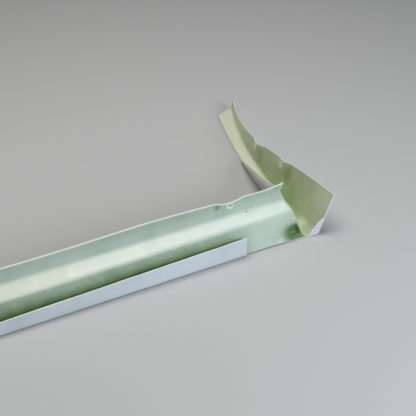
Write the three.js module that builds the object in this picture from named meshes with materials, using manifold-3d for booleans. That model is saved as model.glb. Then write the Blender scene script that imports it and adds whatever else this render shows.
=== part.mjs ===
// Front lip spoiler moulding of a car body kit, as it leaves the mould: a hand-laid glass-fibre
// channel, U-shaped in plan, open at the top, with gel-coat outside and raw mat laminate inside.
// Millimetres. +X to the right, +Y towards the ends of the side arms, +Z up.
import * as THREE from 'three';
import { mergeVertices } from 'three/addons/utils/BufferGeometryUtils.js';
import Module from 'manifold-3d';

const wasm = await Module();
wasm.setup();

// Layers of the moulding.
const LAMINATE = 2.6;          // two plies of chopped-strand mat
const GELCOAT = 0.8;           // the coloured skin of the mould face
const GAP = 0.3;               // left between neighbours

// Plan of the whole moulding.
const HALF_WIDTH = 800;        // middle to the outer corner, at the floor
const CORNER_FLOOR = 33;       // width of the floor at the corner
const ARM_LENGTH = 574;        // corner to the arm's end, along the inner edge
const ARM_END_SLANT = 25;      // how much further the outer wall reaches than the inner edge
const INNER_SPLAY = 100.5;     // how far the inner edge has moved out at the arm's end
const OUTER_SPLAY = 127;       // the same for the foot of the outer wall
const INNER_BEND = 1.8;        // powers of the two splay curves
const OUTER_BEND = 2.2;
const OUTER_START = 5;         // foot of the outer wall, in from the corner
const CORNER_FLARE = 5;        // the corner's free edge stands this far in front of the wall's foot

// Section of the inner wall at the corner: [distance in from the foot, height] at its foot,
// creases and top.
const WALL_SECTION = [[0, 0], [20, 64], [33, 85], [41, 107], [36.3, 125]];
const WALL_FACES = WALL_SECTION.length - 1;
const TOP_LEAN = 0.26;         // forward lean of the part above the last crease

// The top edge of the front wall is trimmed by eye, so it swells and dips along its length.
const TOP_LOW = 119.3;         // between the swells
const SWELL = 6.5;
const SWELL_AT = 430;          // out from the middle
const SWELL_SPREAD = 150;
const CORNER_RISE_FROM = 660;  // from here it climbs to the corner

// Front lip: a low upright blade that stops short of both corners.
const LIP_HALF_WIDTH = 620;
const LIP_MIDDLE_HEIGHT = 29;
const LIP_END_HEIGHT = 45;
const LIP_FACE = -3.4;         // its outer face, in front of the foot of the wall

// Side arms.
const INNER_WALL_REACH = 350;  // where the inner wall has run out to nothing
const INNER_WALL_STOP = 338;   // where it is trimmed off
const INNER_WALL_START = 34;   // full height up to here
const OUTER_HIGH = 92;         // outer wall height at the corner
const OUTER_LOW = 25.5;        // and at the arm's end
const OUTER_LEAN = [0.4, 0.2]; // sideways per unit of height, at the corner and at the end
const FLOOR_TOP = LAMINATE + GELCOAT + GAP;

// Drilled and trimmed mounting edges.
const HOLE_RADIUS = 3;
const PILOT_RADIUS = 2;
const SCALLOP_HOLE_DROP = 13;  // hole centre below the untrimmed edge
const FRONT_SCALLOP = { at: 602, depth: 8, radius: 68 }; // out from the middle
const SIDE_SCALLOPS = [        // back from the corner
  { at: 194, depth: 2, radius: 89 },
  { at: 332, depth: 4.5, radius: 89 },
];
const PILOT_HOLE = { at: 637, height: 86 };
const DRILL_LENGTH = 30;
const DRILL_SIDES = 20;
const SCALLOP_SIDES = 96;

// White return along the outer wall's front edge, widening at its foot: [across, height] from
// the outer corner, up the outer side and down the curved inner side.
const RETURN_DEPTH = 1.6;
const RETURN_OUTLINE = [[-26, 0], [-1.3, 0], [35.1, 91], [31.7, 91], [11, 37], [-2, 31], [-16, 17]];

const RUN_STEPS = 36;          // facets along a side arm
const FRONT_STEPS = 48;        // and along the front wall
const WELD = 1e-4;             // corners closer than this are one

const MATERIALS = {
  laminate: { color: 0xb9c8b0, roughness: 0.42, metalness: 0 },
  gelcoat: { color: 0xd9dee2, roughness: 0.25, metalness: 0 },
};

const lerp = THREE.MathUtils.lerp;

// ---- plan and height curves of a side arm, y measured back from the front corner ----

function innerEdge(y) {
  return HALF_WIDTH - CORNER_FLOOR + INNER_SPLAY * Math.pow(Math.max(y, 0) / ARM_LENGTH, INNER_BEND);
}

function outerFoot(y) {
  const reach = Math.max(y, 0) / (ARM_LENGTH + ARM_END_SLANT);
  return HALF_WIDTH - OUTER_START + OUTER_SPLAY * Math.pow(reach, OUTER_BEND);
}

function innerWallScale(y) {
  const span = INNER_WALL_REACH - INNER_WALL_START;
  const s = Math.min((INNER_WALL_REACH - y) / span, 1);
  return 0.75 * Math.pow(s, 0.85) + 0.25 * Math.pow(s, 8);
}

function outerHeight(y) {
  const t = THREE.MathUtils.clamp(y / armEnd(1), 0, 1);
  return lerp(OUTER_LOW, OUTER_HIGH, (1 + Math.cos(Math.PI * t)) / 2);
}

function outerLean(y) {
  return lerp(OUTER_LEAN[0], OUTER_LEAN[1], y / ARM_LENGTH);
}

// ---- building panels ----

// A curved panel: a unit box whose thickness, rise and run (each 0 to 1) are mapped into place.
function panel(place, riseSteps, runSteps) {
  const box = new THREE.BoxGeometry(1, 1, 1, 1, riseSteps, runSteps);
  const at = box.attributes.position;
  for (let i = 0; i < at.count; i += 1) {
    const p = place(at.getX(i) + 0.5, at.getY(i) + 0.5, at.getZ(i) + 0.5);
    at.setXYZ(i, p.x, p.y, p.z);
  }
  box.deleteAttribute('normal');
  box.deleteAttribute('uv');
  return facingOut(mergeVertices(box, WELD));
}

function signedVolume(geometry) {
  const at = geometry.attributes.position;
  const [a, b, c] = [new THREE.Vector3(), new THREE.Vector3(), new THREE.Vector3()];
  let sum = 0;
  for (let i = 0; i < geometry.index.count; i += 3) {
    a.fromBufferAttribute(at, geometry.index.getX(i));
    b.fromBufferAttribute(at, geometry.index.getX(i + 1));
    c.fromBufferAttribute(at, geometry.index.getX(i + 2));
    sum += a.dot(b.cross(c));
  }
  return sum;
}

function facingOut(geometry) {
  if (signedVolume(geometry) < 0) {
    const index = geometry.index.array;
    for (let i = 0; i < index.length; i += 3) [index[i], index[i + 1]] = [index[i + 1], index[i]];
  }
  return geometry;
}

// The wall section moved sideways by an offset: each crease moves along its mitre.
function wallSection(offset) {
  const normal = (i) => {
    const [a, b] = [WALL_SECTION[i], WALL_SECTION[i + 1]];
    const length = Math.hypot(b[0] - a[0], b[1] - a[1]);
    return [(b[1] - a[1]) / length, -(b[0] - a[0]) / length];
  };
  return WALL_SECTION.map(([across, up], i) => {
    const [n, m] = [normal(Math.max(i - 1, 0)), normal(Math.min(i, WALL_FACES - 1))];
    const reach = offset / (1 + n[0] * m[0] + n[1] * m[1]);
    return [across + reach * (n[0] + m[0]), Math.max(up + reach * (n[1] + m[1]), 0)];
  });
}

// Offsets of the two faces of a layer, measured outwards from the raw inner surface.
const LAMINATE_LAYER = [0, LAMINATE];
const GELCOAT_LAYER = [LAMINATE + GAP, LAMINATE + GAP + GELCOAT];

function layerSections(layer) {
  return layer.map((offset) => wallSection(offset));
}

function sectionPoint(sections, thickness, rise) {
  return sections[Math.round(thickness)][Math.round(rise * WALL_FACES)];
}

// ---- the front of the channel ----

function wallTop(x) {
  const away = (Math.abs(x) - SWELL_AT) / SWELL_SPREAD;
  const edge = TOP_LOW + SWELL * Math.exp(-away * away);
  const climb = THREE.MathUtils.smoothstep(Math.abs(x), CORNER_RISE_FROM, HALF_WIDTH - CORNER_FLOOR);
  return lerp(edge, WALL_SECTION[WALL_FACES][1], climb);
}

function frontWall(layer) {
  const sections = layerSections(layer);
  const corner = HALF_WIDTH - CORNER_FLOOR - GAP;
  return panel((thickness, rise, run) => {
    const [across, up] = sectionPoint(sections, thickness, rise);
    const x = (2 * run - 1) * (corner - across);
    const short = rise === 1 ? WALL_SECTION[WALL_FACES][1] - wallTop(x) : 0;
    return new THREE.Vector3(x, across + TOP_LEAN * short, up - short);
  }, WALL_FACES, FRONT_STEPS);
}

function lipHeight(x) {
  return lerp(LIP_MIDDLE_HEIGHT, LIP_END_HEIGHT, Math.abs(x) / LIP_HALF_WIDTH);
}

function frontLip(near, far) {
  return panel((thickness, rise, run) => {
    const x = (2 * run - 1) * LIP_HALF_WIDTH;
    return new THREE.Vector3(x, lerp(near, far, thickness), rise * lipHeight(x));
  }, 1, 2);
}

// ---- the side arms, built for the right side ----

function armEnd(share) {
  return ARM_LENGTH + ARM_END_SLANT * share;
}

function sideInnerWall(layer) {
  const sections = layerSections(layer);
  return panel((thickness, rise, run) => {
    const [across, up] = sectionPoint(sections, thickness, rise);
    const [rawAcross, rawUp] = WALL_SECTION[Math.round(rise * WALL_FACES)];
    const y = lerp(across + GAP, INNER_WALL_STOP, run);
    const scale = innerWallScale(Math.max(y, INNER_WALL_START));
    const x = innerEdge(y) - rawAcross * scale - (across - rawAcross);
    const z = rawUp * scale + (up - rawUp) + FLOOR_TOP * (1 - rise);
    return new THREE.Vector3(x, y, z);
  }, WALL_FACES, RUN_STEPS);
}

function sideFloor(bottom, top) {
  return panel((thickness, rise, run) => {
    const y = lerp(-CORNER_FLARE, armEnd(rise), run);
    return new THREE.Vector3(lerp(innerEdge(y), outerFoot(y), rise), y, lerp(bottom, top, thickness));
  }, 1, RUN_STEPS);
}

function sideOuterWall(layer) {
  return panel((thickness, rise, run) => {
    const y = lerp(-CORNER_FLARE, armEnd(1), run);
    const z = lerp(FLOOR_TOP, outerHeight(y), rise);
    const x = outerFoot(y) + outerLean(y) * z + lerp(layer[0], layer[1], thickness);
    return new THREE.Vector3(x, y, z);
  }, 1, RUN_STEPS);
}

function cornerReturn() {
  const outline = new THREE.Shape(RETURN_OUTLINE.map(([x, z]) => new THREE.Vector2(x, z)));
  const plate = new THREE.ExtrudeGeometry(outline, { depth: RETURN_DEPTH, bevelEnabled: false });
  plate.rotateX(Math.PI / 2);
  plate.translate(HALF_WIDTH, -CORNER_FLARE - GAP, 0);
  return plate;
}

// ---- drilled holes ----

function toSolid(geometry) {
  const plain = geometry.clone();
  plain.deleteAttribute('normal');
  plain.deleteAttribute('uv');
  const welded = mergeVertices(plain, WELD);
  return new wasm.Manifold(new wasm.Mesh({
    numProp: 3,
    vertProperties: new Float32Array(welded.attributes.position.array),
    triVerts: new Uint32Array(welded.index.array),
  }));
}

function fromSolid(solid) {
  const mesh = solid.getMesh();
  const geometry = new THREE.BufferGeometry();
  geometry.setAttribute('position', new THREE.BufferAttribute(mesh.vertProperties, mesh.numProp));
  geometry.setIndex(new THREE.BufferAttribute(mesh.triVerts, 1));
  return geometry;
}

// A straight cutter along X or Y, long enough to pass through every layer of a wall.
function cutter(radius, sides, direction, x, y, z) {
  const bit = new THREE.CylinderGeometry(radius, radius, DRILL_LENGTH, sides);
  if (direction === 'x') bit.rotateZ(Math.PI / 2);
  bit.translate(x, y, z);
  return toSolid(bit);
}

// One mounting point: a shallow scallop trimmed out of the top edge, and the hole below it.
function mountingPoint(direction, { depth, radius }, x, y, edge) {
  return [
    cutter(radius, SCALLOP_SIDES, direction, x, y, edge - depth + radius),
    cutter(HOLE_RADIUS, DRILL_SIDES, direction, x, y, edge - SCALLOP_HOLE_DROP),
  ];
}

function trimmed(geometry, cutters) {
  return fromSolid(cutters.reduce((body, bit) => body.subtract(bit), toSolid(geometry)));
}

function frontCutters() {
  const [[pilotAcross], [topAcross]] = [WALL_SECTION[2], WALL_SECTION[WALL_FACES]];
  return [-1, 1].flatMap((side) => [
    ...mountingPoint('y', FRONT_SCALLOP, side * FRONT_SCALLOP.at, topAcross, wallTop(FRONT_SCALLOP.at)),
    cutter(PILOT_RADIUS, DRILL_SIDES, 'y', side * PILOT_HOLE.at, pilotAcross, PILOT_HOLE.height),
  ]);
}

function sideCutters() {
  return SIDE_SCALLOPS.flatMap((scallop) => {
    const edge = outerHeight(scallop.at);
    const x = outerFoot(scallop.at) + outerLean(scallop.at) * edge;
    return mountingPoint('x', scallop, x, scallop.at, edge);
  });
}

// ---- assembly ----

function mirrored(geometry) {
  return facingOut(mergeVertices(geometry.clone().scale(-1, 1, 1), WELD));
}

function addPart(group, name, material, geometry) {
  const mesh = new THREE.Mesh(geometry, new THREE.MeshStandardMaterial(MATERIALS[material]));
  mesh.name = name;
  group.add(mesh);
}

function addSidePair(group, name, material, geometry) {
  const plain = fromSolid(toSolid(geometry));
  addPart(group, `right_${name}`, material, plain);
  addPart(group, `left_${name}`, material, mirrored(plain));
}

function drilledFrontWall(layer) {
  return trimmed(frontWall(layer), frontCutters());
}

function drilledOuterWall(layer) {
  return trimmed(sideOuterWall(layer), sideCutters());
}

const moulding = new THREE.Group();
addPart(moulding, 'front_wall_laminate', 'laminate', drilledFrontWall(LAMINATE_LAYER));
addPart(moulding, 'front_wall_gelcoat', 'gelcoat', drilledFrontWall(GELCOAT_LAYER));
addPart(moulding, 'front_lip_gelcoat', 'gelcoat', frontLip(LIP_FACE, LIP_FACE + GELCOAT));
addPart(moulding, 'front_lip_laminate', 'laminate', frontLip(LIP_FACE + GELCOAT + GAP, -GAP));
addSidePair(moulding, 'inner_wall_laminate', 'laminate', sideInnerWall(LAMINATE_LAYER));
addSidePair(moulding, 'inner_wall_gelcoat', 'gelcoat', sideInnerWall(GELCOAT_LAYER));
addSidePair(moulding, 'floor_laminate', 'laminate', sideFloor(GELCOAT + GAP, GELCOAT + LAMINATE));
addSidePair(moulding, 'floor_gelcoat', 'gelcoat', sideFloor(0, GELCOAT));
addSidePair(moulding, 'outer_wall_laminate', 'laminate', drilledOuterWall(LAMINATE_LAYER));
addSidePair(moulding, 'outer_wall_gelcoat', 'gelcoat', drilledOuterWall(GELCOAT_LAYER));
addSidePair(moulding, 'corner_return_gelcoat', 'gelcoat', cornerReturn());
moulding.position.y = (CORNER_FLARE + GAP + RETURN_DEPTH - armEnd(1)) / 2;

export default moulding;
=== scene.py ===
import math

import bmesh
import bpy
from mathutils import Matrix, Vector, noise


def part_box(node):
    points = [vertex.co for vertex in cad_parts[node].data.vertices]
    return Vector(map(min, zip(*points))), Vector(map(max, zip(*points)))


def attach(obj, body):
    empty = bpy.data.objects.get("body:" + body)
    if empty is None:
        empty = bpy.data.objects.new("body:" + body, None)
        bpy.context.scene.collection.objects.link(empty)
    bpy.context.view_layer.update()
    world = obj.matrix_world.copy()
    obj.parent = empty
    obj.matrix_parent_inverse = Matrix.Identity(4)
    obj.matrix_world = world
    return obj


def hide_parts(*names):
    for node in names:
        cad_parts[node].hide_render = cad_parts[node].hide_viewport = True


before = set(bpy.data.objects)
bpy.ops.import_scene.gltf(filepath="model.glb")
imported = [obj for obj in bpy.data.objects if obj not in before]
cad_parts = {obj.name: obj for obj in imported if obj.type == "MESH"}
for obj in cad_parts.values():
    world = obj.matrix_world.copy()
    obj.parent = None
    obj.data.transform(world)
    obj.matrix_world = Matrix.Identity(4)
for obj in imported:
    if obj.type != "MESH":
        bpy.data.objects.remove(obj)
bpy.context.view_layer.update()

# ---- Front channel, laminate ----
# The tall wall of the channel with the low lip folded up in front of it: two plies of
# chopped-strand mat wetted with polyester resin and pressed into the mould by hand, so the
# side that shows is raw, slightly lumpy and pale green.
LAMINATE = 0.0026
FOOT_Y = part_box("front_wall_laminate")[0].y
CORNER_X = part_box("right_floor_laminate")[0].x
SEAM_X = 0.70               # the front's sheet ends here, and each arm's begins
WALL_CREASES = [(0.0, 0.0), (0.020, 0.064), (0.033, 0.085), (0.041, 0.107), (0.0363, 0.125)]
CREASE_SOFTNESS = 0.005
CREASE_STEPS = 4
TOP_LEAN = 0.26             # forward lean of the part above the last crease
TOP_LOW = 0.1193            # the top edge between its swells
SWELL = 0.0065
SWELL_AT = 0.430
SWELL_SPREAD = 0.150
CORNER_FROM = 0.660         # from here to the corner the edge climbs and the foot turns forward
SAW_WANDER = 0.0004         # how far the saw strayed from its line
SAW_WAVES = 30              # strays to the metre
ROW_HEIGHT = 0.003
COLUMN_WIDTH = 0.004
FOOT_TOP = 0.010            # the fillet at the wall's foot ends at this height
FOOT_REACH = 0.005          # and starts this far forward on the floor
FOOT_ROWS = 7
LIP_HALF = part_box("front_lip_laminate")[1].x
LIP_HEIGHTS = (0.029, 0.045) # in the middle and at its two ends
LIP_ROWS = 14
FOLD_RADIUS = 0.0009
FOLD_ROWS = 9
FOLD_JOIN = 3               # the lip's fold meets the wall at this row
FLOOR_TOP = 0.0034          # raw surface of the floors: laminate on gel-coat
FRONT_SCALLOP = (0.602, 0.008, 0.068) # out from the middle, depth and radius
SCALLOP_HOLE_DROP = 0.013   # from the edge down to the hole drilled at a scallop
HOLE_RADIUS = 0.003
PILOT_HOLE = (0.637, 0.033, 0.086) # a smaller hole near the corner
PILOT_RADIUS = 0.002
DRILL_LENGTH = 0.03
DRILL_SIDES = 24


def lerp(a, b, share):
    return a + (b - a) * share


def ease(share):
    share = min(max(share, 0.0), 1.0)
    return share * share * (3 - 2 * share)


def ramp(value, start, end):
    """Climbs smoothly from 0 at start to 1 at end."""
    return ease((value - start) / (end - start))


def bend(start, corner, end, share):
    """A point on the quadratic curve that rounds off a corner."""
    return lerp(lerp(Vector(start), Vector(corner), share), lerp(Vector(corner), Vector(end), share), share)


def softened(creases, softness):
    """The section with each crease rounded, as a list of closely spaced points."""
    points = [Vector(p) for p in creases]
    rounded = [points[0]]
    for before, here, after in zip(points, points[1:], points[2:]):
        start = here + (before - here).normalized() * softness
        end = here + (after - here).normalized() * softness
        rounded += [bend(start, here, end, i / CREASE_STEPS) for i in range(CREASE_STEPS + 1)]
    return rounded + [points[-1]]


def spaced(points, step):
    """The same line with a point about every step."""
    even = [points[0]]
    for a, b in zip(points, points[1:]):
        cuts = max(1, round((b - a).length / step))
        even += [lerp(a, b, (i + 1) / cuts) for i in range(cuts)]
    return even


WALL_LINE = softened(WALL_CREASES, CREASE_SOFTNESS)
FOOT_SLOPE = WALL_CREASES[1][0] / WALL_CREASES[1][1]
WALL_ROWS = spaced([Vector((FOOT_TOP * FOOT_SLOPE, FOOT_TOP))] + WALL_LINE[1:], ROW_HEIGHT)
WALL_HEIGHT = WALL_ROWS[-1].y
NOSE_HEIGHT = WALL_CREASES[3][1]


def wall_top(x):
    """The top edge of the front wall, trimmed by eye, before its scallops."""
    away = (abs(x) - SWELL_AT) / SWELL_SPREAD
    climb = ramp(abs(x), CORNER_FROM, CORNER_X)
    return lerp(TOP_LOW + SWELL * math.exp(-away * away), WALL_HEIGHT, climb)


def scalloped(edge, at, *scallops):
    """A top edge with shallow round scallops cut level out of it."""
    cuts = [edge(middle) - depth + (at - middle) ** 2 / (2 * radius) for middle, depth, radius in scallops]
    return min([edge(at)] + cuts) + SAW_WANDER * noise.noise(Vector((at * SAW_WAVES, len(scallops), 0)))


def dish(away, radius, depth):
    """A soft round hollow pressed into the mat."""
    return depth * (1 - ease(away / radius))


def new_sheet():
    """An empty sheet. Each point keeps how it lies on the mat, and its resin with painted shade and
    highlight mixed in: 1 is darkest, for pooled resin and for painted shade; -1 is lightest, for dry resin
    and for painted highlight.
    """
    sheet = bmesh.new()
    sheet.verts.layers.float_vector.new("lie")
    sheet.verts.layers.float_vector.new("back")
    sheet.verts.layers.float.new("wetness_and_shade")
    sheet.verts.layers.int.new("rear")
    return sheet


def lay_mat(sheet, columns, rows, place):
    """A flat grid laid into the mould: place(column, row) gives a point, how it lies, and its resin with any
    painted shade or highlight.
    """
    lie, wetness_and_shade = sheet.verts.layers.float_vector["lie"], sheet.verts.layers.float["wetness_and_shade"]
    grid = bmesh.ops.create_grid(sheet, x_segments=columns, y_segments=rows, size=0.5)
    for v in grid["verts"]:
        column = round((v.co.x + 0.5) * columns)
        row = round((v.co.y + 0.5) * rows)
        v.co, v[lie], wet_and_shaded = place(column, row)
        v[wetness_and_shade] = min(max(wet_and_shaded, -1.0), 1.0)
    return grid["verts"]


def front_foot(x, row):
    """The foot of the front wall: straight down, but near the corner turned forward in a fillet."""
    share = row / FOOT_ROWS
    top = Vector((FOOT_TOP * FOOT_SLOPE, FOOT_TOP))
    plain = top * share
    turned = bend((-FOOT_REACH, FLOOR_TOP), (0.0, FLOOR_TOP), top, share)
    return lerp(plain, turned, ramp(abs(x), CORNER_FROM, CORNER_X))


def front_section(x, row):
    """(distance in, height) of the front wall at a row, with the scallop trimmed out of its top."""
    if row < FOOT_ROWS:
        return front_foot(x, row)
    across, up = WALL_ROWS[row - FOOT_ROWS]
    above_nose = max(up - NOSE_HEIGHT, 0) / (WALL_HEIGHT - NOSE_HEIGHT)
    short = (WALL_HEIGHT - scalloped(wall_top, abs(x), FRONT_SCALLOP)) * above_nose
    return Vector((across + TOP_LEAN * short, up - short))


def girth(row):
    """How far up the mat a row lies."""
    if row < FOOT_ROWS:
        return FOOT_TOP * row / FOOT_ROWS
    return FOOT_TOP + ROW_HEIGHT * (row - FOOT_ROWS)


ALL_ROWS = FOOT_ROWS + len(WALL_ROWS) - 1
FRONT_COLUMNS = round(2 * SEAM_X / COLUMN_WIDTH)
LEDGE_FOOT = (0.056, 0.064)   # heights where the lower band gives way to the ledge
LEDGE_TOP = (0.084, 0.092)    # and the ledge to the upper band
LIP_SHADE_FADE = (LIP_HALF - 0.08, LIP_HALF + 0.04) # the painted shade behind the lip fades out here, where light gets in past the lip's end
TROUGH_SHADE = 1.5             # painted shade at the bottom of the trough, where the lip shades it
TROUGH_SHADE_TOP = 0.064
LOWER_BAND_SHADE = (0.12, 0.42)     # painted shade on the lower band, at the corners and behind the lip
UPPER_BAND_SHADE = 0.20             # painted shade on the band under the top edge
LEDGE_HIGHLIGHT = (-1.0, -0.12)    # painted highlight on the ledge, which faces up into the light, in the middle and at the corners
LIP_POOL = (0.8, 1.0)         # on the lip and in its fold
DIMPLE_SHADE_AT = (0.572, 0.112)       # painted shade of a dimple beside the scallop; the mesh has no dimple there
DIMPLE_SHADE_RADIUS = 0.012
DIMPLE_SHADE = 0.6
SCUFF_RADIUS = 0.011          # the drill scuffed the resin white this far round each hole
SCUFF_DRY = 1.6


def front_wetness_and_shade(x, up):
    """Painted shade and light in bands: darker in the trough behind the lip, on the lower band and a little
    under the top edge, lighter on the ledge; with a painted dimple shade and a scuff round the hole.
    """
    behind_lip = 1 - ramp(abs(x), *LIP_SHADE_FADE)
    below, above = 1 - ramp(up, *LEDGE_FOOT), ramp(up, *LEDGE_TOP)
    # Painted shade in the trough behind the lip and on the lower band, painted highlight on the ledge, a
    # little painted shade under the top edge.
    trough_shade = (TROUGH_SHADE - LOWER_BAND_SHADE[1]) * behind_lip * (1 - ramp(up, 0, TROUGH_SHADE_TOP))
    lower_shade = lerp(*LOWER_BAND_SHADE, behind_lip) + trough_shade
    ledge_light = lerp(*LEDGE_HIGHLIGHT, abs(x) / CORNER_X)
    # A painted shade spot where a dimple beside the scallop would be shaded.
    dimple_shade = dish(math.hypot(abs(x) - DIMPLE_SHADE_AT[0], up - DIMPLE_SHADE_AT[1]), DIMPLE_SHADE_RADIUS, DIMPLE_SHADE)
    hole_up = wall_top(FRONT_SCALLOP[0]) - SCALLOP_HOLE_DROP
    scuff = dish(math.hypot(abs(x) - FRONT_SCALLOP[0], up - hole_up), SCUFF_RADIUS, SCUFF_DRY)
    return lower_shade * below + UPPER_BAND_SHADE * above + ledge_light * (1 - below - above) + dimple_shade - scuff


def place_front(column, row):
    x = lerp(-SEAM_X, SEAM_X, column / FRONT_COLUMNS)
    across, up = front_section(x, row)
    return Vector((x, FOOT_Y + across, up)), Vector((x, girth(row), 0)), front_wetness_and_shade(x, up)


def place_lip(column, row):
    """The lip from its trimmed top down, and round the tight fold to the wall's foot."""
    x = lerp(-SEAM_X, SEAM_X, column / FRONT_COLUMNS)
    height = lerp(*LIP_HEIGHTS, abs(x) / LIP_HALF)
    fold_height = front_foot(x, FOLD_JOIN).y
    if row <= LIP_ROWS:
        up = lerp(height, fold_height, row / LIP_ROWS)
        return Vector((x, FOOT_Y, up)), Vector((x, -up, 0)), LIP_POOL[0]
    turn = (row - LIP_ROWS) / FOLD_ROWS
    joined = front_foot(x, FOLD_JOIN).x
    angle = math.pi * (1 + turn)
    y = FOOT_Y + joined / 2 + joined / 2 * math.cos(angle)
    z = fold_height + FOLD_RADIUS * math.sin(angle)
    return Vector((x, y, z)), Vector((x, lerp(-fold_height, fold_height, turn), 0)), LIP_POOL[1]


WELD = 0.00002


def front_sheet():
    """The wall between the seams with the lip joined to its foot, as one open sheet."""
    sheet = new_sheet()
    lay_mat(sheet, FRONT_COLUMNS, ALL_ROWS, place_front)
    join_height = front_foot(0, FOLD_JOIN).y
    hidden = [f for f in sheet.faces
              if abs(f.calc_center_median().x) < LIP_HALF and f.calc_center_median().z < join_height]
    bmesh.ops.delete(sheet, geom=hidden, context="FACES")
    lip = lay_mat(sheet, FRONT_COLUMNS, LIP_ROWS + FOLD_ROWS, place_lip)
    past_end = {f for v in lip for f in v.link_faces if abs(f.calc_center_median().x) > LIP_HALF}
    bmesh.ops.delete(sheet, geom=list(past_end), context="FACES")
    bmesh.ops.remove_doubles(sheet, verts=sheet.verts[:], dist=WELD)
    return sheet


MITRE_LIMIT = 1.3           # the layer is at most this many times thicker in a sharp fold


def face_raw_side(sheet, toward):
    """Turns all faces so that the raw side is the one whose average normal leans toward the given way."""
    bmesh.ops.recalc_face_normals(sheet, faces=sheet.faces[:])
    lean = sum((f.normal * f.calc_area() for f in sheet.faces), Vector())
    if lean.dot(toward) < 0:
        bmesh.ops.reverse_faces(sheet, faces=sheet.faces[:])
    sheet.normal_update()


def thicken(sheet, start, thickness):
    """Gives the sheet its layer, from start to start + thickness behind the raw side, above the ground."""
    back, rear = sheet.verts.layers.float_vector["back"], sheet.verts.layers.int["rear"]
    for v in sheet.verts:
        v[back] = v.normal * min(v.calc_shell_factor(), MITRE_LIMIT)
        v.co -= v[back] * start
        v.co.z = max(v.co.z, FLOOR_TOP - start)
    layer = bmesh.ops.extrude_face_region(sheet, geom=sheet.faces[:], use_keep_orig=True)
    for v in layer["geom"]:
        if isinstance(v, bmesh.types.BMVert):
            v.co -= v[back] * thickness
            v.co.z = max(v.co.z, FLOOR_TOP - start - thickness)
            v[rear] = 1
    bmesh.ops.recalc_face_normals(sheet, faces=sheet.faces[:])


def mark_cut_edges(sheet):
    """The rim between the two sides is sawn, so it has sharp borders and its own finish."""
    rear = sheet.verts.layers.int["rear"]
    for f in sheet.faces:
        sides = {v[rear] for v in f.verts}
        f.smooth = len(sides) == 1
        f.material_index = 0 if f.smooth else 1
    for e in sheet.edges:
        e.smooth = all(f.smooth for f in e.link_faces)


def roughen(sheet, height):
    """Lumps of the raw side."""
    rear = sheet.verts.layers.int["rear"]
    sheet.normal_update()
    for v in sheet.verts:
        if v[rear]:
            continue
        v.co += v.normal * height * sum(share * noise.noise(v.co * rate) for rate, share in WAVES)


def lay_uvs(sheet):
    """Unrolls the mat: u along it and v across it, in metres."""
    lie, uv = sheet.verts.layers.float_vector["lie"], sheet.loops.layers.uv.new("mat")
    for f in sheet.faces:
        for corner in f.loops:
            corner[uv].uv = corner.vert[lie].xy


def piece_from(sheet, name, *materials):
    mesh = bpy.data.meshes.new(name)
    sheet.to_mesh(mesh)
    sheet.free()
    piece = bpy.data.objects.new(name, mesh)
    bpy.context.scene.collection.objects.link(piece)
    for material in materials:
        mesh.materials.append(material)
    return piece


def drill(piece, centre, across, radius):
    """A hole through every layer, drilled at centre along the direction across."""
    bit = bmesh.new()
    bmesh.ops.create_cone(bit, cap_ends=True, segments=DRILL_SIDES, radius1=radius, radius2=radius,
                          depth=DRILL_LENGTH)
    bit.transform(Matrix.Translation(centre) @ Vector(across).to_track_quat("Z", "Y").to_matrix().to_4x4())
    for f in bit.faces:
        f.material_index = 1
    cutter = piece_from(bit, "drill_bit", *piece.data.materials)
    cut = piece.modifiers.new("drilled", "BOOLEAN")
    cut.operation, cut.solver, cut.object = "DIFFERENCE", "EXACT", cutter
    shape = bpy.data.meshes.new_from_object(piece.evaluated_get(bpy.context.evaluated_depsgraph_get()))
    piece.modifiers.clear()
    old, piece.data = piece.data, shape
    bpy.data.meshes.remove(old)
    bpy.data.objects.remove(cutter)


def shader(name, roughness):
    material = bpy.data.materials.new(name)
    material.use_nodes = True
    nodes = material.node_tree.nodes
    surface = nodes["Principled BSDF"]
    surface.inputs["Roughness"].default_value = roughness
    return material, surface


class Wiring:
    """Short calls for adding and joining a material's nodes."""

    def __init__(self, material):
        self.tree = material.node_tree

    def add(self, kind, **inputs):
        node = self.tree.nodes.new(kind)
        for socket, value in inputs.items():
            self.put(node, socket.replace("_", " "), value)
        return node

    def put(self, node, socket, value):
        if isinstance(value, bpy.types.NodeSocket):
            self.tree.links.new(value, node.inputs[socket])
        else:
            node.inputs[socket].default_value = value

    def maths(self, operation, a, b=0.0):
        node = self.tree.nodes.new("ShaderNodeMath")
        node.operation = operation
        self.put(node, 0, a)
        self.put(node, 1, b)
        return node.outputs[0]

    def blend(self, share, first, second):
        node = self.tree.nodes.new("ShaderNodeMix")
        node.data_type = "RGBA"
        self.put(node, 0, share)
        self.put(node, 6, first)
        self.put(node, 7, second)
        return node.outputs[2]

    def span(self, value, low, high, to_low=0.0, to_high=1.0):
        node = self.tree.nodes.new("ShaderNodeMapRange")
        node.interpolation_type = "SMOOTHSTEP"
        for socket, number in zip(range(5), (value, low, high, to_low, to_high)):
            self.put(node, socket, number)
        return node.outputs[0]


LUMP = 0.0003               # height of the raw side's lumps
WAVES = ((9, 1.6), (28, 1.0), (90, 0.5)) # how many to the metre, and their share of that height
RESIN_COOL = (0.56, 0.67, 0.59, 1) # on the front; the side arms' resin is the warmer one. The two tints are partly thicker resin on the arms and partly painted light: cooler light on the front, warmer light on the arms
# The pooled colours also give painted shade, and the dry ones painted highlight, where the resin scale
# carries them.
COOL_POOLED_AND_SHADED = (0.105, 0.20, 0.05, 1)
COOL_DRY_AND_LIT = (0.90, 0.90, 0.73, 1)
RESIN_WARM = (0.60, 0.64, 0.45, 1)
WARM_POOLED_AND_SHADED = (0.25, 0.34, 0.09, 1)
WARM_DRY_AND_LIT = (0.84, 0.85, 0.69, 1)
STRAND = (0.74, 0.80, 0.70, 1)
STRAND_ANGLES = (0.15, 0.72, 1.35, 1.9, 2.6)
STRAND_SHIFT = (0.37, 0.61, 0) # between the strands of one angle and the next
STRAND_LENGTH = 0.035
STRAND_WIDTH = 0.0012
TORN_DARK = (0.56, 0.60, 0.53, 1)
TORN_LIGHT = (0.76, 0.78, 0.74, 1)


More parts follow.
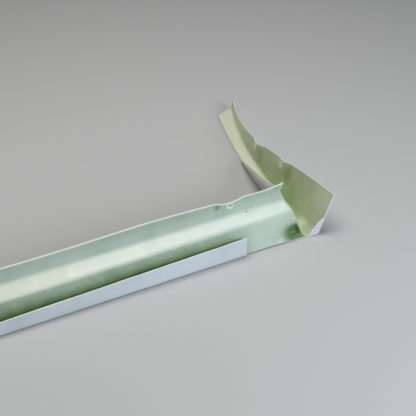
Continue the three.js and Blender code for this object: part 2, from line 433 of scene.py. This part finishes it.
def raw_laminate():
    """Resin over chopped strands: strands lie every way in the mat and show as faint light threads."""
    material, surface = shader("raw_laminate", 0.4)
    w = Wiring(material)
    mat = w.add("ShaderNodeUVMap")
    mat.uv_map = "mat"
    place = w.add("ShaderNodeTexCoord").outputs["Object"]
    threads = None
    for i, angle in enumerate(STRAND_ANGLES):
        turned = w.add("ShaderNodeMapping", Vector=mat.outputs["UV"], Rotation=(0, 0, angle),
                       Location=Vector(STRAND_SHIFT) * i)
        stretched = w.add("ShaderNodeVectorMath")
        stretched.operation = "MULTIPLY"
        w.put(stretched, 0, turned.outputs[0])
        w.put(stretched, 1, (1 / STRAND_LENGTH, 1 / STRAND_WIDTH, 1))
        grain = w.add("ShaderNodeTexNoise", Vector=stretched.outputs[0], Scale=1.0, Detail=1.0)
        thread = w.span(grain.outputs["Fac"], 0.60, 0.72)
        threads = thread if threads is None else w.maths("MAXIMUM", threads, thread)
    cloud = w.add("ShaderNodeTexNoise", Vector=place, Scale=14.0, Detail=3.0).outputs["Fac"]
    blotch = w.add("ShaderNodeTexNoise", Vector=place, Scale=55.0, Detail=2.0).outputs["Fac"]
    away = w.add("ShaderNodeSeparateXYZ", Vector=place).outputs[0]
    side = w.span(w.maths("ABSOLUTE", away), CORNER_X - 0.014, CORNER_X + 0.004)
    # This attribute carries pooled and dry resin, and painted shade and painted highlight on the same scale.
    pooled_and_shaded = w.add("ShaderNodeAttribute")
    pooled_and_shaded.attribute_name = "wetness_and_shade"
    wet_and_shaded = w.maths("ADD", pooled_and_shaded.outputs["Fac"], w.span(cloud, 0.3, 0.75, -0.07, 0.13))
    dry_and_lit = w.maths("MULTIPLY", wet_and_shaded, -1.0)
    cool = w.blend(dry_and_lit, w.blend(wet_and_shaded, RESIN_COOL, COOL_POOLED_AND_SHADED), COOL_DRY_AND_LIT)
    warm = w.blend(dry_and_lit, w.blend(wet_and_shaded, RESIN_WARM, WARM_POOLED_AND_SHADED), WARM_DRY_AND_LIT)
    # Cool front and warm arms: partly thicker resin, partly painted light.
    resin = w.blend(side, cool, warm)
    sunk = w.span(pooled_and_shaded.outputs["Fac"], 0.3, 1.0, 1.0, 0.3)
    shown = w.maths("MULTIPLY", w.maths("MULTIPLY", threads, sunk), w.span(blotch, 0.3, 0.7, 0.15, 0.5))
    w.put(surface, "Base Color", w.blend(shown, resin, STRAND))
    w.put(surface, "Roughness", w.span(blotch, 0.3, 0.7, 0.32, 0.52))
    height = w.maths("ADD", w.maths("MULTIPLY", threads, 0.35), w.maths("MULTIPLY", blotch, 0.8))
    relief = w.add("ShaderNodeBump", Height=height, Distance=0.0004, Strength=0.5)
    w.put(surface, "Normal", relief.outputs[0])
    surface.inputs["Subsurface Weight"].default_value = 0.25
    surface.inputs["Subsurface Radius"].default_value = (0.5, 1.0, 0.4)
    surface.inputs["Subsurface Scale"].default_value = 0.004
    surface.inputs["Coat Weight"].default_value = 0.15
    return material


def sawn_edge():
    """Where the saw went through, the strands are torn and white."""
    material, surface = shader("sawn_edge", 0.75)
    w = Wiring(material)
    place = w.add("ShaderNodeTexCoord").outputs["Object"]
    speck = w.add("ShaderNodeTexNoise", Vector=place, Scale=900.0, Detail=2.0).outputs["Fac"]
    w.put(surface, "Base Color", w.blend(speck, TORN_DARK, TORN_LIGHT))
    w.put(surface, "Normal", w.add("ShaderNodeBump", Height=speck, Distance=0.0003, Strength=0.6).outputs[0])
    return material


laminate_finish = raw_laminate()
edge_finish = sawn_edge()
TOWARD_TROUGH = Vector((0, -1, 0.3))

sheet = front_sheet()
face_raw_side(sheet, TOWARD_TROUGH)
thicken(sheet, 0.0, LAMINATE)
mark_cut_edges(sheet)
roughen(sheet, LUMP)
lay_uvs(sheet)
front_laminate = piece_from(sheet, "front_channel_laminate", laminate_finish, edge_finish)


def drill_front(piece):
    bolt_height = wall_top(FRONT_SCALLOP[0]) - SCALLOP_HOLE_DROP
    for side in (-1, 1):
        bolt = Vector((side * FRONT_SCALLOP[0], FOOT_Y + WALL_CREASES[-1][0], bolt_height))
        pilot = Vector((side * PILOT_HOLE[0], FOOT_Y + PILOT_HOLE[1], PILOT_HOLE[2]))
        drill(piece, bolt, (0, 1, 0), HOLE_RADIUS)
        drill(piece, pilot, (0, 1, 0), PILOT_RADIUS)


drill_front(front_laminate)
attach(front_laminate, "root")
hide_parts("front_wall_laminate", "front_lip_laminate")

# ---- Front channel, gel-coat ----
# The smooth skin of the mould face behind that laminate, sprayed first and about 0.8 mm thick.
# It shows in front on the lip, behind on the wall, and as a thin white line along each sawn edge.
GELCOAT = 0.0008
BOND = 0.00003              # keeps the two touching layers apart
GELCOAT_WHITE = (0.68, 0.74, 0.80, 1)
GELCOAT_DULL = (0.60, 0.65, 0.70, 1)
DUST_AND_SHADE = (0.71, 0.69, 0.63, 1) # greyer, darker tint on the side arms' gel-coat: partly dust, mostly painted shade
DUST_AND_SHADE_FROM = (0.05, 0.14)     # starts this far behind the front


def white_gelcoat():
    """Waxy white gel-coat with a little orange peel, and on the arms a greyer tint that is partly dust and
    mostly painted shade.
    """
    material, surface = shader("white_gelcoat", 0.3)
    w = Wiring(material)
    place = w.add("ShaderNodeTexCoord").outputs["Object"]
    cloud = w.add("ShaderNodeTexNoise", Vector=place, Scale=9.0, Detail=4.0).outputs["Fac"]
    peel = w.add("ShaderNodeTexNoise", Vector=place, Scale=420.0, Detail=1.0).outputs["Fac"]
    clean = w.blend(w.span(cloud, 0.4, 0.75), GELCOAT_WHITE, GELCOAT_DULL)
    backward = w.add("ShaderNodeSeparateXYZ", Vector=place).outputs[1]
    # Greyer toward the arms: partly dust, mostly painted shade.
    dusty_and_shaded = w.span(backward, FOOT_Y + DUST_AND_SHADE_FROM[0], FOOT_Y + DUST_AND_SHADE_FROM[1])
    w.put(surface, "Base Color", w.blend(dusty_and_shaded, clean, DUST_AND_SHADE))
    w.put(surface, "Roughness", w.span(cloud, 0.3, 0.7, 0.26, 0.42))
    w.put(surface, "Normal", w.add("ShaderNodeBump", Height=peel, Distance=0.0001, Strength=0.25).outputs[0])
    surface.inputs["Coat Weight"].default_value = 0.2
    return material


gelcoat_finish = white_gelcoat()

sheet = front_sheet()
face_raw_side(sheet, TOWARD_TROUGH)
thicken(sheet, LAMINATE + BOND, GELCOAT)
mark_cut_edges(sheet)
lay_uvs(sheet)
front_gelcoat = piece_from(sheet, "front_channel_gelcoat", gelcoat_finish, gelcoat_finish)
drill_front(front_gelcoat)
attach(front_gelcoat, "root")
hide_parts("front_wall_gelcoat", "front_lip_gelcoat")

# ---- Side arms, laminate ----
# The same lay-up turned round each corner: the wall runs out low along the inside, the floor
# carries on to the arm's end, and a tall outer wall leans out from it.
INNER_LENGTH = 0.574
INNER_SPLAY = 0.1005        # how far out the floor's inner edge has bowed at its end
INNER_BOW = 1.8
OUTER_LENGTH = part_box("right_outer_wall_laminate")[1].y - FOOT_Y
OUTER_START = 0.795
OUTER_SPLAY = 0.127
OUTER_BOW = 2.2
END_SLANT = OUTER_LENGTH - INNER_LENGTH
SLANT_FROM = 0.30
CORNER_ROUND = 0.006
INNER_WALL_STOP = 0.338
FULL_HEIGHT_TO = 0.034
INNER_WALL_REACH = 0.350    # where the inner wall's falling top edge would meet the floor
RUN_OUT = ((0.75, 0.85), (0.25, 8)) # shares of its height, and how steeply each falls away
OUTER_HEIGHTS = (0.0255, 0.092) # at the far end and at the front
OUTER_LEAN = (0.40, 0.20)   # at the front and at the far end
SIDE_SCALLOPS = ((0.194, 0.002, 0.089), (0.332, 0.0045, 0.089)) # behind the front, depth and radius
SIDE_HOLES = [scallop[0] for scallop in SIDE_SCALLOPS]
PAD_RADIUS = 0.030          # the mat is built up round each side hole
PAD_HEIGHT = 0.0028
FRONT_PART = 17             # columns from the seam to the corner
CORNER_PART = 7             # columns round the corner
WALL_PART = 83              # columns from the corner to where the inner wall stops
TAIL_PART = 60              # columns from there to the arm's end
ARM_COLUMNS = FRONT_PART + CORNER_PART + WALL_PART + TAIL_PART
RIM_GIRTH = 0.005           # what is left of the foot's fillet past the inner wall's end
FOOT_SHRINKS = (0.20, 0.34)
FOOT_LEFT = 0.12
FLOOR_ROWS = 9
HEEL_ROWS = 6
SIDE_ROWS = 28
HEEL = 0.009                # the fillet between the floor and the outer wall
HEEL_GIRTH = 1.6 * HEEL
POCKET_OPENS = (0.700, 0.750) # the hollow pressed in by the corner's foot
POCKET_CLOSES = (0.750, 0.7595)
POCKET_FOOT = (FLOOR_TOP, FLOOR_TOP + 0.004)
POCKET_TOP = (0.010, 0.040)
POCKET_DEPTH = 0.012
POCKET_SHADE = 1.2           # painted shade in that hollow, and the heights it fades over
POCKET_SHADE_TOP = (0.014, 0.048)
INNER_POOL = (0.3, 0.45)    # round the corner, and along the inner wall


def inner_edge(y):
    return CORNER_X + INNER_SPLAY * (max(y, 0) / INNER_LENGTH) ** INNER_BOW


def outer_foot(y):
    return OUTER_START + OUTER_SPLAY * (max(y, 0) / OUTER_LENGTH) ** OUTER_BOW


def outer_lean(y):
    return lerp(*OUTER_LEAN, y / INNER_LENGTH)


def outer_untrimmed(y):
    share = min(max(y / OUTER_LENGTH, 0), 1)
    return lerp(*OUTER_HEIGHTS, (1 + math.cos(math.pi * share)) / 2)


def outer_height(y):
    return scalloped(outer_untrimmed, y, *SIDE_SCALLOPS)


def hole_height(at):
    return outer_untrimmed(at) - SCALLOP_HOLE_DROP


def wall_left(y):
    """How much of the wall's height is left along the arm."""
    share = min(max((INNER_WALL_REACH - y) / (INNER_WALL_REACH - FULL_HEIGHT_TO), 0), 1)
    return sum(part * share ** power for part, power in RUN_OUT)


def arm_station(column):
    """Distance of a column from the corner, along the foot of the wall."""
    past = column - FRONT_PART - CORNER_PART
    if past <= WALL_PART:
        return lerp(CORNER_ROUND, INNER_WALL_STOP, past / WALL_PART)
    return lerp(INNER_WALL_STOP, INNER_LENGTH, (past - WALL_PART) / TAIL_PART)


def foot_size(y):
    """The foot's fillet shrinks where the wall runs out."""
    return lerp(1.0, FOOT_LEFT, ramp(y, *FOOT_SHRINKS))


def arm_section(y, row):
    """(distance in, height) of the inner wall at a row, this far along the arm."""
    top = Vector((FOOT_TOP * FOOT_SLOPE, FOOT_TOP - FLOOR_TOP)) * foot_size(y)
    if row <= FOOT_ROWS:
        start = Vector((-FOOT_REACH * foot_size(y), 0))
        across, up = bend(start, (0, 0), top, row / FOOT_ROWS)
        return Vector((across, up + FLOOR_TOP))
    reach = WALL_ROWS[row - FOOT_ROWS] - WALL_ROWS[0]
    left = wall_left(lerp(FULL_HEIGHT_TO, INNER_WALL_STOP, y / INNER_WALL_STOP))
    return top + Vector((0, FLOOR_TOP)) + reach * left


def place_inner(column, row):
    """The wall from the seam, round the corner, and along the arm."""
    if column <= FRONT_PART:
        share = column / FRONT_PART
        fold = CORNER_X - front_section(CORNER_X, row).x - CORNER_ROUND
        x, along = lerp(SEAM_X, fold, share), lerp(SEAM_X, CORNER_X, share)
        across, up = front_section(along, row)
        place = Vector((x, FOOT_Y + across + corner_pocket(x, up), up))
        return place, Vector((along, girth(row), 0)), front_wetness_and_shade(x, up) + corner_shade(x, up)
    if column <= FRONT_PART + CORNER_PART:
        turn = (column - FRONT_PART) / CORNER_PART * math.pi / 2
        across, up = front_section(CORNER_X, row)
        x = CORNER_X - across - CORNER_ROUND * (1 - math.sin(turn))
        y = FOOT_Y + across + CORNER_ROUND * (1 - math.cos(turn))
        wet_and_shaded = lerp(corner_shade(x, up), INNER_POOL[0], ease(turn))
        return Vector((x, y, up)), Vector((CORNER_X + CORNER_ROUND * turn, girth(row), 0)), wet_and_shaded
    y = arm_station(column)
    across, up = arm_section(y, row)
    sheared = y + across * max(1 - y / INNER_WALL_STOP, 0)
    place = Vector((inner_edge(y) - across, FOOT_Y + sheared, up))
    return place, Vector((CORNER_X + y, girth(row), 0)), INNER_POOL[1]


def corner_pocket(x, up):
    """Depth of the pocket: it opens slowly toward the corner and closes fast at the fold."""
    sideways = ramp(x, *POCKET_OPENS) * (1 - ramp(x, *POCKET_CLOSES))
    return POCKET_DEPTH * (sideways * (ramp(up, *POCKET_FOOT) * (1 - ramp(up, *POCKET_TOP))))


def corner_shade(x, up):
    """Painted shade in the pocket and round its fold."""
    # Darker toward the corner and low down: painted shade.
    return POCKET_SHADE * ramp(x, *POCKET_OPENS) * (1 - ramp(up, *POCKET_SHADE_TOP))


def place_outer(column, row):
    """The floor from the foot of the inner wall, the rounded heel, and the outer wall."""
    start, lie, _ = place_inner(column + FRONT_PART, 0)
    y = start.y - FOOT_Y
    share = min(max(row / FLOOR_ROWS, 0), 1)
    y += END_SLANT * share * ramp(y, SLANT_FROM, INNER_LENGTH)
    foot = Vector((outer_foot(y), FLOOR_TOP))
    lean = outer_lean(y)
    floor_end = foot - Vector((HEEL, 0))
    heel_end = foot + Vector((lean * HEEL, HEEL))
    if row <= FLOOR_ROWS:
        x, z = lerp(Vector((start.x, FLOOR_TOP)), floor_end, share)
        down = x - start.x
    elif row <= FLOOR_ROWS + HEEL_ROWS:
        turn = (row - FLOOR_ROWS) / HEEL_ROWS
        x, z = bend(floor_end, foot, heel_end, turn)
        down = floor_end.x - start.x + HEEL_GIRTH * turn
    else:
        rise = (row - FLOOR_ROWS - HEEL_ROWS) / SIDE_ROWS
        top = outer_height(y)
        x, z = lerp(heel_end, Vector((foot.x + lean * (top - FLOOR_TOP), top)), rise)
        x -= side_pad(y, z)
        down = floor_end.x - start.x + HEEL_GIRTH + (z - heel_end.y) * math.hypot(1, lean)
    return Vector((x, FOOT_Y + y, z)), Vector((lie.x, -down, 0)), side_wetness_and_shade(y, z, share)


def side_pad(y, z):
    """The pads round the side holes, where more mat was laid in for the screws."""
    return sum(dish(math.hypot(y - at, z - hole_height(at)), PAD_RADIUS, PAD_HEIGHT) for at in SIDE_HOLES)


RIM_SHADE = 0.9                # painted shade along the floor's inner edge, past the inner wall
RIM_SHADE_FADE = 0.16               # over this share of the floor's width
RIM_SHADE_FROM = (INNER_WALL_STOP, INNER_WALL_STOP + 0.04)
END_POOL = 0.7                # along the arm's sawn end
END_FROM = (-0.010, -0.002)   # this far before it
FLOOR_POOL = (0.35, -0.75)    # on the floor, at the corner and further back
FLOOR_DRIES = (0.02, 0.07)
HEEL_POOL = 0.7               # on the floor beside the heel
HEEL_SHARES = (0.35, 0.80)    # from one share of the floor's width to another
HEEL_FROM = (0.035, 0.070)
HEEL_TO = (0.16, 0.30)
WALL_SHADE = (0.66, 0.36)      # painted shade on the outer wall's inside, at its foot and at its top
FRONT_LIT = (0.3, -0.5)      # what is left of that at the wall's front, low down and high up; high up it turns negative, painted light where the wall is open to the front
FRONT_HEIGHTS = (0.03, 0.08)
FRONT_TO = (0.005, 0.125)
FAR_LEFT = 0.45               # and at its far end
FAR_FROM = (0.25, 0.50)
PAD_SHADE = 0.42               # painted shade beside each raised pad
PAD_SHADE_AWAY = (0.036, 0.004) # this far before and below the hole
PAD_SHADE_RADIUS = 0.028


def side_wetness_and_shade(y, z, across_floor):
    """Resin is thin on the floor and thick along the heel; painted shade along the floor's inner edge, on
    the outer wall's inside and below the pads, and painted light on the outer wall's front.
    """
    off_floor = ease((z - FLOOR_TOP) / HEEL)
    # Painted shade along the floor's inner edge.
    rim_shade = RIM_SHADE * (1 - ease(across_floor / RIM_SHADE_FADE)) * ramp(y, *RIM_SHADE_FROM)
    ends = END_POOL * ramp(y - INNER_LENGTH - END_SLANT * across_floor, *END_FROM)
    by_heel = ramp(across_floor, *HEEL_SHARES) * ramp(y, *HEEL_FROM) * (1 - ramp(y, *HEEL_TO))
    on_floor = lerp(lerp(*FLOOR_POOL, ramp(y, *FLOOR_DRIES)), HEEL_POOL, by_heel) * (1 - off_floor)
    # Painted shade on the outer wall's inside, darker at its foot; painted light toward its front edge; less
    # of it toward the far end.
    wall_shade = lerp(*WALL_SHADE, ease(z / outer_height(y))) * off_floor
    front_lit = lerp(lerp(*FRONT_LIT, ramp(z, *FRONT_HEIGHTS)), 1.0, ramp(y, *FRONT_TO))
    far = lerp(1.0, FAR_LEFT, ramp(y, *FAR_FROM))
    scuffs = pad_shades = 0
    for at in SIDE_HOLES:
        before, over = y - at, z - hole_height(at)
        scuffs += dish(math.hypot(before, over), SCUFF_RADIUS, SCUFF_DRY)
        # Painted shade beside each raised pad.
        from_pad_shade = math.hypot(before + PAD_SHADE_AWAY[0], over + PAD_SHADE_AWAY[1])
        pad_shades += dish(from_pad_shade, PAD_SHADE_RADIUS, PAD_SHADE)
    return max(rim_shade, ends) + on_floor + wall_shade * front_lit * far + pad_shades * off_floor - scuffs


def arm_sheet():
    """The right arm from its seam on, as one open sheet: the inner wall, the floor and the outer wall."""
    sheet = new_sheet()
    lay_mat(sheet, ARM_COLUMNS, ALL_ROWS, place_inner)
    lie = sheet.verts.layers.float_vector["lie"]
    gone = [f for f in sheet.faces
            if min(v[lie].x for v in f.verts) > CORNER_X + INNER_WALL_STOP - WELD
            and max(v[lie].y for v in f.verts) > RIM_GIRTH]
    bmesh.ops.delete(sheet, geom=gone, context="FACES")
    outer_columns = CORNER_PART + WALL_PART + TAIL_PART
    lay_mat(sheet, outer_columns, FLOOR_ROWS + HEEL_ROWS + SIDE_ROWS, place_outer)
    bmesh.ops.remove_doubles(sheet, verts=sheet.verts[:], dist=WELD)
    return sheet


def mirror_to_left(sheet):
    bmesh.ops.scale(sheet, vec=(-1, 1, 1), verts=sheet.verts[:])
    bmesh.ops.reverse_faces(sheet, faces=sheet.faces[:])


def drill_side(piece, side):
    for at in SIDE_HOLES:
        height = hole_height(at)
        x = outer_foot(at) + outer_lean(at) * height
        drill(piece, Vector((side * x, FOOT_Y + at, height)), (1, 0, 0), HOLE_RADIUS)


INTO_ARM = Vector((-1, -0.2, 1))


def arm_piece(name, side, start, thickness, lump, finish, rim_finish):
    sheet = arm_sheet()
    face_raw_side(sheet, INTO_ARM)
    thicken(sheet, start, thickness)
    mark_cut_edges(sheet)
    roughen(sheet, lump)
    lay_uvs(sheet)
    if side < 0:
        mirror_to_left(sheet)
    piece = piece_from(sheet, name, finish, rim_finish)
    drill_side(piece, side)
    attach(piece, "root")
    return piece


for side, word in ((1, "right"), (-1, "left")):
    piece = arm_piece(f"{word}_arm_laminate", side, 0.0, LAMINATE, LUMP, laminate_finish, edge_finish)
    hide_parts(*(f"{word}_{part}_laminate" for part in ("inner_wall", "floor", "outer_wall")))

# ---- Side arms, gel-coat ----
# The skin outside the arms: under the floor, up the outside of the outer wall, and on the face
# of the inner wall that looks into the open middle of the moulding.
for side, word in ((1, "right"), (-1, "left")):
    piece = arm_piece(f"{word}_arm_gelcoat", side, LAMINATE + BOND, GELCOAT, 0.0,
                      gelcoat_finish, gelcoat_finish)
    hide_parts(*(f"{word}_{part}_gelcoat" for part in ("inner_wall", "floor", "outer_wall")))

# ---- Corner returns ----
# The gel-coat wraps round the front edge of each outer wall as a narrow white return, which
# widens at its foot into a small web across the end of the trough.
RETURN_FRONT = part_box("right_corner_return_gelcoat")[0].y
RETURN_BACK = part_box("right_corner_return_gelcoat")[1].y
RETURN_WIDTH = 0.0046
RETURN_STEPS = 24
RETURN_SPACING = 1.3        # the steps are closer together at the foot
RETURN_EDGE = 0.0004
WEB_REACH = 0.0225
WEB_HEIGHT = 0.037
WEB_CURVE = 1.7
WEB_TAPER = 0.25


def return_web(height):
    """How far the return reaches in from the outer wall at a height."""
    share = min(height / WEB_HEIGHT, 1)
    return RETURN_WIDTH + WEB_REACH * math.sqrt(max(1 - share ** WEB_CURVE, 0)) * (1 - WEB_TAPER * share)


def corner_return(side):
    web = bmesh.new()
    top = outer_height(0)
    bmesh.ops.create_grid(web, x_segments=4, y_segments=RETURN_STEPS, size=0.5)
    for v in web.verts:
        share, height = v.co.x + 0.5, (v.co.y + 0.5) ** RETURN_SPACING * top
        outer = OUTER_START + OUTER_LEAN[0] * height + LAMINATE + GELCOAT
        v.co = Vector((outer - return_web(height) * (1 - share), RETURN_BACK, height))
    plate = bmesh.ops.extrude_face_region(web, geom=web.faces[:], use_keep_orig=True)
    for v in plate["geom"]:
        if isinstance(v, bmesh.types.BMVert):
            v.co.y = RETURN_FRONT
    bmesh.ops.scale(web, vec=(side, 1, 1), verts=web.verts[:])
    bmesh.ops.recalc_face_normals(web, faces=web.faces[:])
    return web


for side, word in ((1, "right"), (-1, "left")):
    piece = piece_from(corner_return(side), f"{word}_corner_return", gelcoat_finish)
    bevel = piece.modifiers.new("eased", "BEVEL")
    bevel.width, bevel.segments, bevel.limit_method = RETURN_EDGE, 2, "ANGLE"
    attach(piece, "root")
    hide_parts(f"{word}_corner_return_gelcoat")

# ---- Studio ----
# A plain pale floor under the moulding, one large softbox overhead, a cooler one low in front on
# the right, and the camera in front on the left, looking down the channel to its right corner.
FLOOR_GREY = (0.52, 0.52, 0.52, 1)
FLOOR_HALF = 12
FLOOR_GAP = 0.0005          # keeps the floor clear of the moulding's underside
AIR_COLOUR = (0.9, 0.95, 1.0, 1)
AIR_STRENGTH = 0.09
CAMERA_AIM = Vector((0.5918, -0.1790, 0.060))
CAMERA_AZIMUTH = math.radians(-28.2)
CAMERA_RISE = math.radians(33.6)
CAMERA_AWAY = 1.941
CAMERA_LENS = 77.9


def softbox(name, place, aim, width, depth, power, colour):
    light = bpy.data.lights.new(name, "AREA")
    light.shape, light.size, light.size_y = "RECTANGLE", width, depth
    light.energy, light.color = power, colour
    lamp = bpy.data.objects.new(name, light)
    lamp.location = place
    lamp.rotation_euler = (Vector(aim) - Vector(place)).to_track_quat("-Z", "Y").to_euler()
    bpy.context.scene.collection.objects.link(lamp)


ground = bmesh.new()
bmesh.ops.create_grid(ground, x_segments=1, y_segments=1, size=FLOOR_HALF)
floor_material, floor_surface = shader("studio_floor", 0.9)
floor_surface.inputs["Base Color"].default_value = FLOOR_GREY
studio_floor = piece_from(ground, "studio_floor", floor_material)
studio_floor.location.z = -FLOOR_GAP

softbox("overhead", place=(0.3, 0.2, 2.4), aim=(0.4, -0.1, 0), width=2.2, depth=1.2,
        power=42, colour=(1.0, 0.99, 0.95))
softbox("front_key", place=(1.35, -2.1, 1.0), aim=(0.6, -0.2, 0), width=1.3, depth=0.8,
        power=32, colour=(0.88, 0.95, 1.0))

world = bpy.data.worlds.new("studio_air")
world.use_nodes = True
air = world.node_tree.nodes["Background"]
air.inputs["Color"].default_value = AIR_COLOUR
air.inputs["Strength"].default_value = AIR_STRENGTH
bpy.context.scene.world = world
bpy.context.scene.view_settings.view_transform = "Standard"

camera_data = bpy.data.cameras.new("camera")
camera_data.lens = CAMERA_LENS
camera = bpy.data.objects.new("camera", camera_data)
back = Vector((math.sin(CAMERA_AZIMUTH) * math.cos(CAMERA_RISE),
               -math.cos(CAMERA_AZIMUTH) * math.cos(CAMERA_RISE),
               math.sin(CAMERA_RISE)))
camera.location = CAMERA_AIM + back * CAMERA_AWAY
camera.rotation_euler = (-back).to_track_quat("-Z", "Y").to_euler()
bpy.context.scene.collection.objects.link(camera)
bpy.context.scene.camera = camera
